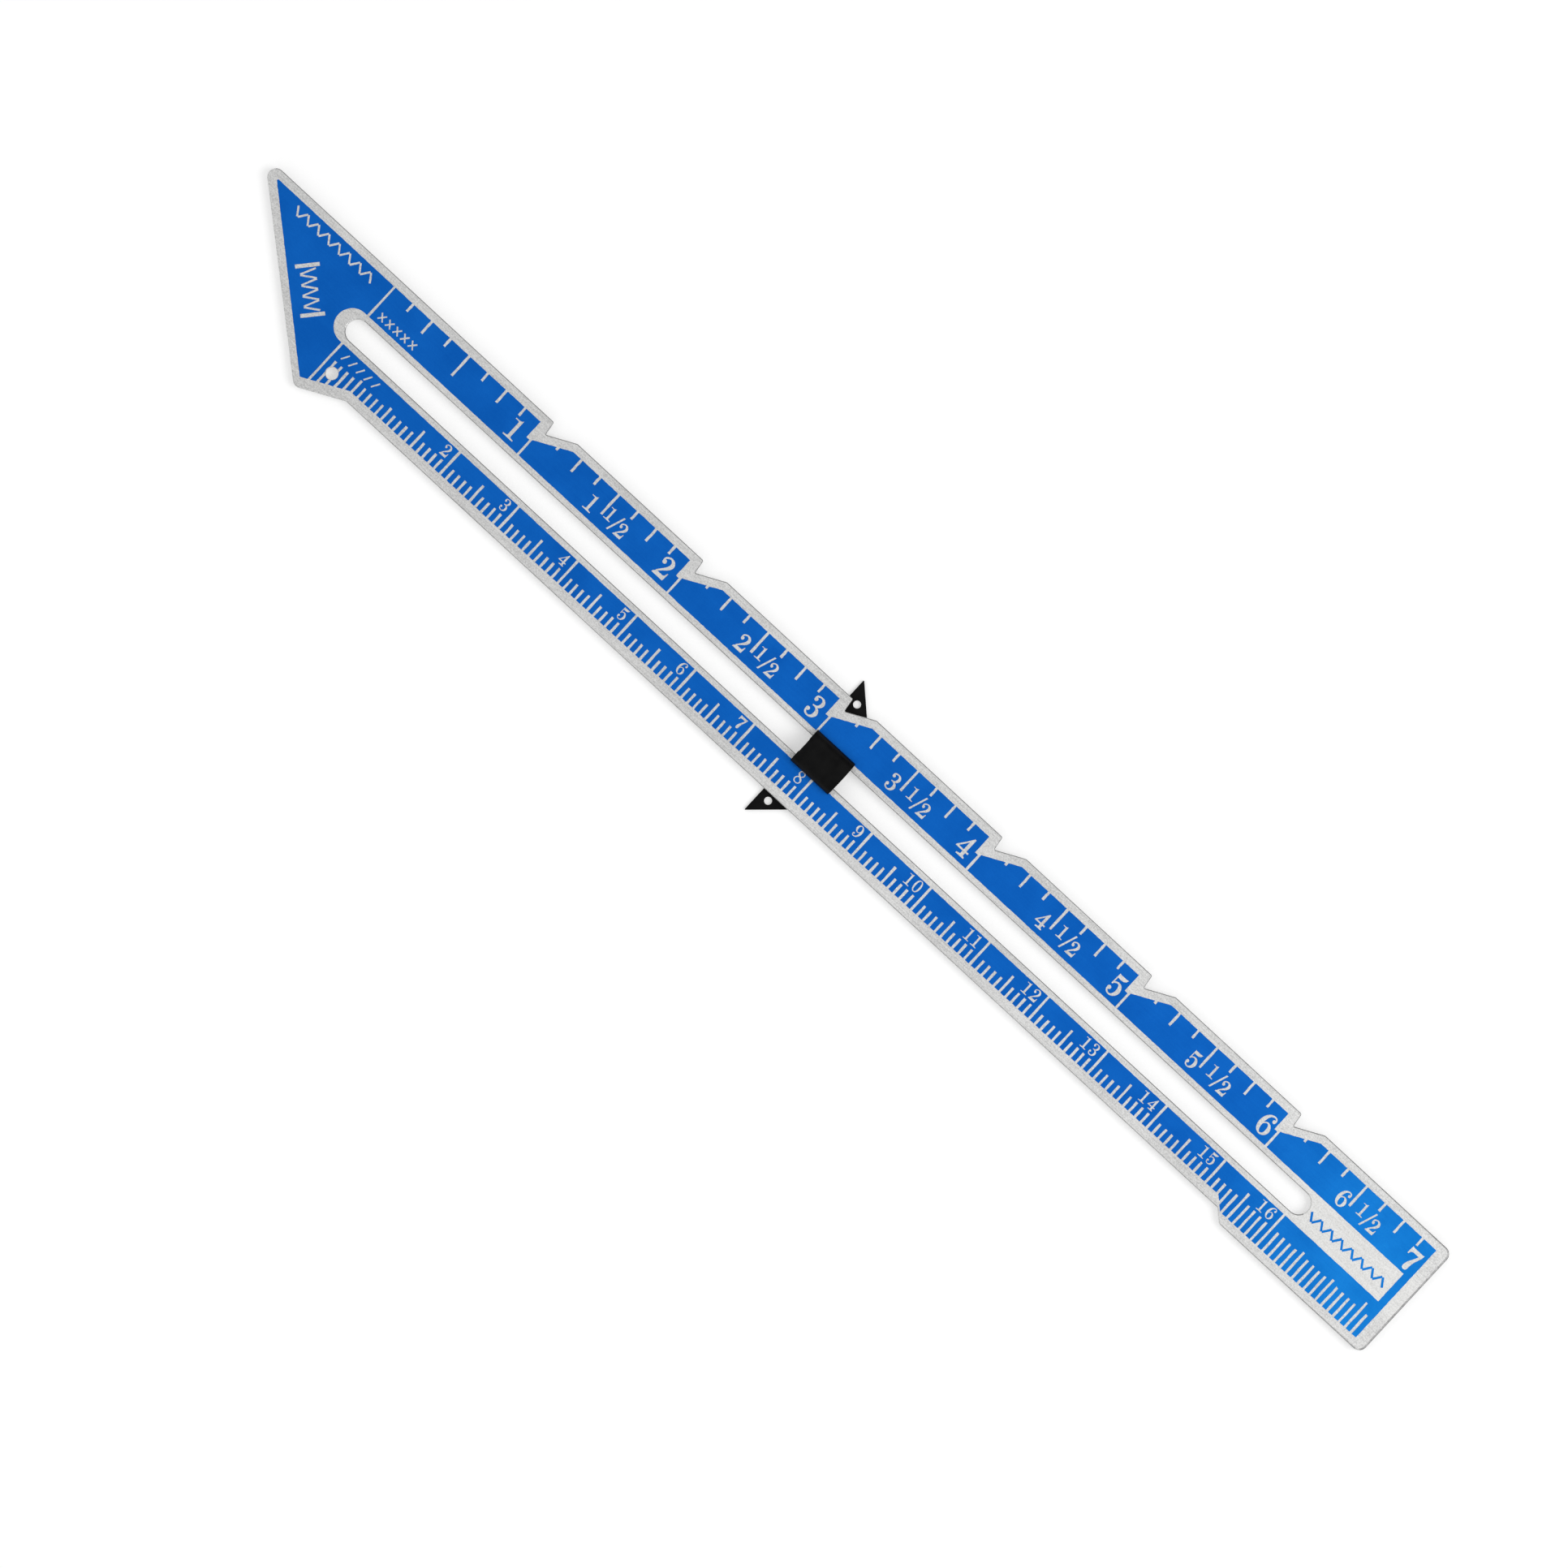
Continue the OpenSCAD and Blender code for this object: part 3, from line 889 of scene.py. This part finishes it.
def finished(name, shape, materials, sharp_angle=SHARP_ANGLE):
    """The plain mesh object of a shape, with its doubles merged and its sharp edges marked."""
    bmesh.ops.remove_doubles(shape, verts=shape.verts, dist=SAME_POINT)
    loose = [v for v in shape.verts if not v.link_faces]
    bmesh.ops.delete(shape, geom=loose, context="VERTS")
    mesh = bpy.data.meshes.new(name)
    shape.to_mesh(mesh)
    shape.free()
    for material in materials:
        mesh.materials.append(material)
    smooth = [face.use_smooth for face in mesh.polygons]
    mesh.set_sharp_from_angle(angle=math.radians(sharp_angle))
    mesh.polygons.foreach_set("use_smooth", smooth)
    piece = bpy.data.objects.new(name, mesh)
    bpy.context.scene.collection.objects.link(piece)
    return piece


def blue_sheet(name, points, triangles, low, high, material):
    """The closed thin sheet over a flat triangulation."""
    shape = bmesh.new()
    bottom = [shape.verts.new(in_frame(p.x, p.y, low)) for p in points]
    top = [shape.verts.new(in_frame(p.x, p.y, high)) for p in points]
    sides = {}
    for a, b, c in triangles:
        shape.faces.new((top[a], top[b], top[c]))
        shape.faces.new((bottom[c], bottom[b], bottom[a]))
        for edge in ((a, b), (b, c), (c, a)):
            sides[edge] = sides.get(edge, 0) + 1
    for a, b in sides:
        if (b, a) not in sides:
            shape.faces.new((bottom[a], bottom[b], top[b], top[a]))
    return finished(name, shape, [material])


# Materials

def new_group(name, inputs, outputs):
    tree = bpy.data.node_groups.new(name, "ShaderNodeTree")
    for label, value in inputs.items():
        tree.interface.new_socket(label, in_out="INPUT", socket_type="NodeSocketFloat").default_value = value
    for label in outputs:
        tree.interface.new_socket(label, in_out="OUTPUT", socket_type="NodeSocketFloat")
    return tree, tree.nodes.new("NodeGroupInput").outputs, tree.nodes.new("NodeGroupOutput").inputs


def grain_group():
    """Fine grain and long brush lines on Object coordinates: a height and a mask, both 0 to 1."""
    tree, given, out = new_group("metal grain", {"Grain Size": 0.15, "Brush": 0.5}, ["Height", "Mask"])
    place = tree.nodes.new("ShaderNodeTexCoord").outputs["Object"]
    per_metre = maths(tree, "DIVIDE", 1 / MM, given["Grain Size"])
    grain = add(tree, "ShaderNodeTexNoise", {
        "Vector": place,
        "Scale": per_metre,
        "Detail": 3.0,
        "Roughness": 0.6,
    })
    stretch = add(tree, "ShaderNodeMapping", {"Vector": place, "Scale": (0.03, 1.0, 1.0)})
    brush_lines = add(tree, "ShaderNodeTexNoise", {
        "Vector": stretch.outputs[0],
        "Scale": maths(tree, "MULTIPLY", per_metre, 0.8),
        "Detail": 2.0,
        "Roughness": 0.5,
    })
    mixed = add(tree, "ShaderNodeMix", {
        0: given["Brush"],
        2: grain.outputs["Fac"],
        3: brush_lines.outputs["Fac"],
    })
    tree.links.new(mixed.outputs[0], out["Height"])
    mask = add(tree, "ShaderNodeMapRange", {
        "Value": mixed.outputs[0],
        "From Min": 0.3,
        "From Max": 0.7,
    })
    tree.links.new(mask.outputs[0], out["Mask"])
    return tree


def patch_group():
    """Large soft patches on Object coordinates, 0 to 1."""
    tree, given, out = new_group("soft patches", {"Patch Size": 8.0}, ["Mask"])
    place = tree.nodes.new("ShaderNodeTexCoord").outputs["Object"]
    noise = add(tree, "ShaderNodeTexNoise", {
        "Vector": place,
        "Scale": maths(tree, "DIVIDE", 1 / MM, given["Patch Size"]),
        "Detail": 4.0,
        "Roughness": 0.55,
    })
    mask = add(tree, "ShaderNodeMapRange", {
        "Value": noise.outputs["Fac"],
        "From Min": 0.35,
        "From Max": 0.65,
    })
    tree.links.new(mask.outputs[0], out["Mask"])
    return tree


def new_material(name, **constants):
    """A material whose shader has plain values on its own sockets."""
    material = bpy.data.materials.new(name)
    material.use_nodes = True
    tree = material.node_tree
    shader = tree.nodes["Principled BSDF"]
    for key, value in constants.items():
        shader.inputs[key.replace("_", " ")].default_value = value
    return material, tree, shader


def use(tree, group, **values):
    node = tree.nodes.new("ShaderNodeGroup")
    node.node_tree = group
    for key, value in values.items():
        node.inputs[key.replace("_", " ")].default_value = value
    return node.outputs


def blend_colours(tree, mask, dark, light):
    """From a dark colour to a light one along a mask."""
    node = add(tree, "ShaderNodeMix", {0: mask}, data_type="RGBA")
    node.inputs[6].default_value = (*dark, 1)
    node.inputs[7].default_value = (*light, 1)
    return node.outputs[2]


def along(tree, start, stop):
    """0 to 1 from one ruler x to another."""
    place = tree.nodes.new("ShaderNodeTexCoord").outputs["Object"]
    parts = add(tree, "ShaderNodeSeparateXYZ", {0: place}).outputs
    node = add(tree, "ShaderNodeMapRange", {
        "Value": parts["X"],
        "From Min": (start + ZERO_X) * MM,
        "From Max": (stop + ZERO_X) * MM,
    }, interpolation_type="SMOOTHSTEP")
    return node.outputs[0]


def near_middle(tree, width, fade):
    """1 within a width of the ruler's middle line, fading to 0 past it."""
    place = tree.nodes.new("ShaderNodeTexCoord").outputs["Object"]
    parts = add(tree, "ShaderNodeSeparateXYZ", {0: place}).outputs
    node = add(tree, "ShaderNodeMapRange", {
        "Value": maths(tree, "ABSOLUTE", parts["Y"]),
        "From Min": (width + fade) * MM,
        "From Max": width * MM,
    }, interpolation_type="SMOOTHSTEP")
    return node.outputs[0]


def blend_masks(tree, fine, soft, fine_share):
    """The masks of the fine grain and the soft patches, each with its share."""
    patchy = maths(tree, "MULTIPLY", soft["Mask"], 1 - fine_share)
    return maths(tree, "MULTIPLY_ADD", fine["Mask"], fine_share, patchy)


def spread(tree, value, low, high):
    """A mask stretched from low to high."""
    node = add(tree, "ShaderNodeMapRange", {"Value": value, "To Min": low, "To Max": high})
    return node.outputs[0]


def bump(tree, shader, height, distance, strength):
    node = add(tree, "ShaderNodeBump", {
        "Height": height,
        "Distance": distance * MM,
        "Strength": strength,
    })
    tree.links.new(node.outputs[0], shader.inputs["Normal"])


def bare_aluminium(grain, patches):
    material, tree, shader = new_material("bare aluminium", Metallic=1.0)
    fine = use(tree, grain, Grain_Size=0.17, Brush=0.3)
    soft = use(tree, patches, Patch_Size=14.0)
    tone = blend_masks(tree, fine, soft, 0.85)
    plain = blend_colours(tree, tone, *ALUMINIUM)
    # Painted highlight: a paler aluminium over the bare panel by the wide end, standing for a reflected
    # light
    highlit = blend_colours(tree, tone, *PAINTED_HIGHLIGHT_ALUMINIUM)
    across = near_middle(tree, WINDOW_R, PANEL_HIGHLIGHT_FADE)
    panel_highlight = maths(tree, "MULTIPLY", along(tree, PANEL_HIGHLIGHT_FROM, PANEL_HIGHLIGHT_TO), across)
    colour = add(tree, "ShaderNodeMix", {0: panel_highlight, 6: plain, 7: highlit}, data_type="RGBA")
    tree.links.new(colour.outputs[2], shader.inputs["Base Color"])
    tree.links.new(spread(tree, fine["Mask"], 0.52, 0.34), shader.inputs["Roughness"])
    bump(tree, shader, fine["Height"], 0.01, 0.6)
    return material


# An edge material in given colours; the blade uses it for its painted shades
def sheared_edge(name, grain, colours):
    material, tree, shader = new_material(name, Metallic=1.0)
    fine = use(tree, grain, Grain_Size=0.3, Brush=0.2)
    tree.links.new(blend_colours(tree, fine["Mask"], *colours), shader.inputs["Base Color"])
    tree.links.new(spread(tree, fine["Mask"], 0.55, 0.4), shader.inputs["Roughness"])
    bump(tree, shader, fine["Height"], 0.02, 0.5)
    return material


def blue_dye(grain, patches):
    material, tree, shader = new_material("blue dyed face", Metallic=1.0)
    fine = use(tree, grain, Grain_Size=0.2, Brush=0.4)
    soft = use(tree, patches, Patch_Size=5.0)
    tone = blend_masks(tree, fine, soft, 0.45)
    deep = blend_colours(tree, tone, *DEEP_BLUE)
    # Painted highlight: the blue turns paler towards the wide end, standing for a reflected light
    highlit_blue = blend_colours(tree, tone, *PAINTED_HIGHLIGHT_BLUE)
    blue_highlight = along(tree, BLUE_HIGHLIGHT_FROM, BLUE_HIGHLIGHT_TO)
    colour = add(tree, "ShaderNodeMix", {0: blue_highlight, 6: deep, 7: highlit_blue}, data_type="RGBA")
    tree.links.new(colour.outputs[2], shader.inputs["Base Color"])
    tree.links.new(spread(tree, fine["Mask"], 0.5, 0.38), shader.inputs["Roughness"])
    bump(tree, shader, fine["Height"], 0.01, 0.4)
    return material


def black_paint(grain, patches):
    material, tree, shader = new_material("black slider paint", Metallic=0.0, Specular_IOR_Level=0.08)
    fine = use(tree, grain, Grain_Size=0.25, Brush=0.1)
    soft = use(tree, patches, Patch_Size=1.6)
    tree.links.new(blend_colours(tree, soft["Mask"], *BLACK), shader.inputs["Base Color"])
    tree.links.new(spread(tree, soft["Mask"], 0.36, 0.46), shader.inputs["Roughness"])
    bump(tree, shader, fine["Height"], 0.01, 0.3)
    return material


def pale_floor():
    material, tree, shader = new_material("pale floor", Roughness=0.9)
    shader.inputs["Base Color"].default_value = (FLOOR_TONE, FLOOR_TONE, FLOOR_TONE, 1)
    seen = tree.nodes.new("ShaderNodeLightPath").outputs
    direct = maths(tree, "MAXIMUM", seen["Is Camera Ray"], seen["Is Glossy Ray"])
    glow = maths(tree, "MULTIPLY", direct, FLOOR_GLOW)
    shader.inputs["Emission Color"].default_value = (1, 1, 1, 1)
    tree.links.new(glow, shader.inputs["Emission Strength"])
    return material


# Pieces

def make_blade(metal, strong_shade_edge, mild_shade_edge):
    levels = rolled_levels(BLADE_T, FRONT_ROLL, BACK_ROLL)
    holes = [slot_outline(), ring(PIVOT.x, PIVOT.y, PIVOT_R)]
    metal_and_shaded_edges = [metal, strong_shade_edge, mild_shade_edge]
    blade = punched_sheet("gauge_blade", blade_outline(), holes, levels, in_frame, metal_and_shaded_edges)
    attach(blade, "blade")
    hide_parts("blade")
    return blade


def motif_holes(stitches, material):
    """Plain sewing motifs: a zigzag row, a thread spool and two short rows of stitches."""
    common = {"Uneven": STITCH_ROUGH, "Seed": SEED + 4}
    on_spool = {"Turn": math.radians(-SPOOL_SLOPE), **common}
    run = aim(-SPOOL_SLOPE)
    flange = SPOOL - run * SPOOL_L / 2
    thread = flange + run * THREAD_IN
    pitch = (SPOOL_L - 2 * THREAD_IN) / (THREAD["Count"] - 1)
    holes = marks(stitches, material, **ZIGZAG, **common)
    holes += marks(stitches, material, Start=(*flange, 0), Pitch=SPOOL_L, **FLANGES, **on_spool)
    holes += marks(stitches, material, Start=(*thread, 0), Pitch=pitch, **THREAD, **on_spool)
    for lean in CROSS_LEANS:
        holes += marks(stitches, material, Lean=math.radians(lean), **CROSSES, **common)
    holes += marks(stitches, material, Lean=math.radians(RUNNING_LEAN), **RUNNING, **common)
    return holes


def make_face(dye, lines, stitches):
    dice = random.Random(SEED)
    holes = [rough(window_outline(), dice), ring(PIVOT.x, PIVOT.y, PIVOT_R + PIVOT_MARGIN)]
    holes += graduations(lines, dye)
    holes += numbers()
    holes += motif_holes(stitches, dye)
    row = marks(stitches, dye, **PANEL_ZIGZAG, Uneven=STITCH_ROUGH, Seed=SEED + 5)
    points, triangles = cut_sheet(rough(face_outline(), dice), holes, islands=row)
    face = blue_sheet("blue_scale_face", points, triangles, BLADE_T, BLADE_T + FACE_T, dye)
    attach(face, "blade")
    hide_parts("scale_face")
    return face


def fold_path():
    """Half of the folded strip's middle line, and its height at the crown.

    The line is a list of (length, turn in degrees) from the crown outwards.
    """
    half_t = STRIP_T / 2
    neck = SLOT_R - NECK_GAP - half_t
    bend = FOLD_R + half_t
    wall = BAND_W / 2 - half_t
    rail_z = BLADE_T + SLIDE_GAP + half_t
    arm_z = -SLIDE_GAP - half_t
    crown_z = BLADE_T + BAND_H - half_t
    shoulder = SHOULDER_R - half_t
    quarter = math.pi / 2
    steps = [
        (BAND_W / 2 - SHOULDER_R, 0),
        (shoulder * quarter, -90),
        (crown_z - shoulder - rail_z - bend, 0),
        (bend * quarter, -90),
        (wall - neck - 2 * bend, 0),
        (bend * quarter, 90),
        (rail_z - arm_z - 2 * bend, 0),
        (bend * quarter, 90),
        (POINTER_REACH - neck - bend, 0),
    ]
    return steps, crown_z


def folded(s):
    """Where the strip's middle line is at a length s from the crown: y, z and the way it runs."""
    steps, z = fold_path()
    y = 0.0
    heading = 0.0
    left = abs(s)
    for length, turn in steps:
        go = min(left, length)
        swing = math.radians(turn) * go / length
        if turn:
            radius = length / math.radians(turn)
            y += radius * (math.sin(heading + swing) - math.sin(heading))
            z -= radius * (math.cos(heading + swing) - math.cos(heading))
        else:
            y += go * math.cos(heading)
            z += go * math.sin(heading)
        heading += swing
        left -= go
    return y, z, heading


def fold_place(s, x, t):
    """A point of the flat strip, at height t from its back, where the folded slider has it."""
    y, z, heading = folded(s)
    out = STRIP_T / 2 - t
    y += out * math.sin(heading)
    z -= out * math.cos(heading)
    band = sum(length for length, _ in fold_path()[0][:2])
    bow = BAND_BOW * max(0.0, 1 - (s / band) ** 2)
    bow *= BOW_AT_EDGE + (1 - BOW_AT_EDGE) * x / STRIP_W
    return in_frame(READING * INCH + x + bow, math.copysign(y, -s), z)


def make_slider(paint):
    steps, _ = fold_path()
    reach = sum(length for length, _ in steps)
    cut = STRIP_W * math.tan(math.radians(POINTER_ANGLE))
    stations = [0.0]
    at = 0.0
    for length, turn in steps[:-1]:
        pieces = math.ceil(abs(turn) / FOLD_STEP) if turn else FLAT_PARTS
        stations += [at + length * k / pieces for k in range(1, pieces + 1)]
        at += length
    stations = sorted({round(side * s, 6) for s in stations for side in (-1, 1)})
    corners = rounded([
        (-reach, 0, TIP_ROUND),
        (reach, 0, TIP_ROUND),
        (reach - cut, STRIP_W, POINTER_R),
        (cut - reach, STRIP_W, POINTER_R),
    ])
    outline = [p for p in corners if p.x < 0 and p.y < STRIP_W / 2]
    outline += [Vector((s, 0)) for s in stations]
    outline += [p for p in corners if p.x > 0]
    outline += [Vector((s, STRIP_W)) for s in reversed(stations)]
    outline += [p for p in corners if p.x < 0 and p.y > STRIP_W / 2]
    holes = [ring(side * (reach - PENCIL_DOWN), PENCIL_IN, PENCIL_R, PENCIL_SIDES) for side in (-1, 1)]
    levels = rolled_levels(STRIP_T, STRIP_ROLL, STRIP_ROLL, steps=3)
    seams = [(Vector((s, STRIP_ROLL)), Vector((s, STRIP_W - STRIP_ROLL))) for s in stations]
    slider = punched_sheet("folded_slider", outline, holes, levels, fold_place, [paint], seams, True)
    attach(slider, "slider")
    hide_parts("slider")
    return slider


# Stage, light and camera

def make_floor(material):
    """A wide pale floor, a hair below the pointers' backs."""
    shape = bmesh.new()
    place = Matrix.Translation((0, 0, -FLOOR_BELOW * MM))
    bmesh.ops.create_grid(shape, x_segments=1, y_segments=1, size=FLOOR_HALF, matrix=place)
    floor = finished("floor", shape, [material])


def area_light(name, at, aim_at, size, power):
    data = bpy.data.lights.new(name, "AREA")
    data.size = size
    data.energy = power
    lamp = bpy.data.objects.new(name, data)
    lamp.location = at
    lamp.rotation_euler = (Vector(aim_at) - Vector(at)).to_track_quat("-Z", "Y").to_euler()
    bpy.context.scene.collection.objects.link(lamp)


def light_and_camera():
    scene = bpy.context.scene
    scene.view_settings.view_transform = "Standard"
    world = bpy.data.worlds.new("studio")
    world.use_nodes = True
    scene.world = world
    tree = world.node_tree
    sky = tree.nodes["Background"]
    seen = tree.nodes.new("ShaderNodeLightPath").outputs
    towards = add(tree, "ShaderNodeVectorMath", {
        0: tree.nodes.new("ShaderNodeTexCoord").outputs["Generated"],
        1: (*aim(VIEW_TURN), 0),
    }, operation="DOT_PRODUCT")
    side = add(tree, "ShaderNodeMapRange", {
        "Value": towards.outputs["Value"],
        "From Min": DARK_FROM,
        "From Max": DARK_TO,
        "To Min": WORLD_LEVEL,
        "To Max": DARK_SHARE * WORLD_LEVEL,
    }, interpolation_type="SMOOTHSTEP")
    strength = maths(tree, "MAXIMUM", side.outputs[0], seen["Is Camera Ray"])
    sky.inputs["Color"].default_value = (1, 1, 1, 1)
    tree.links.new(strength, sky.inputs["Strength"])
    area_light("key", Vector((*aim(KEY_FROM) * KEY_OUT, KEY_UP)), (0, 0, 0), KEY_SIZE, KEY_POWER)
    camera_data = bpy.data.cameras.new("camera")
    camera_data.lens = camera_data.sensor_width * CAMERA_UP / (VIEW_WIDTH * MM)
    camera_data.clip_start = 0.01
    camera = bpy.data.objects.new("camera", camera_data)
    camera.location = Vector((*VIEW_CENTRE, 0)) * MM + Vector((0, 0, CAMERA_UP + (BACK_Z + BLADE_T) * MM))
    camera.rotation_euler = (0, 0, math.radians(VIEW_TURN))
    scene.collection.objects.link(camera)
    scene.camera = camera


grain = grain_group()
patches = patch_group()
light_and_camera()
make_floor(pale_floor())
# Painted shade: edge materials darker than the bare metal, put on sides by the way they face
strong_shade_edge = sheared_edge("sheared edge with strong painted shade", grain, STRONG_SHADE_EDGE_COLOURS)
mild_shade_edge = sheared_edge("sheared edge with mild painted shade", grain, MILD_SHADE_EDGE_COLOURS)
make_blade(bare_aluminium(grain, patches), strong_shade_edge, mild_shade_edge)
make_face(blue_dye(grain, patches), graduation_tree(), stitch_tree())
make_slider(black_paint(grain, patches))
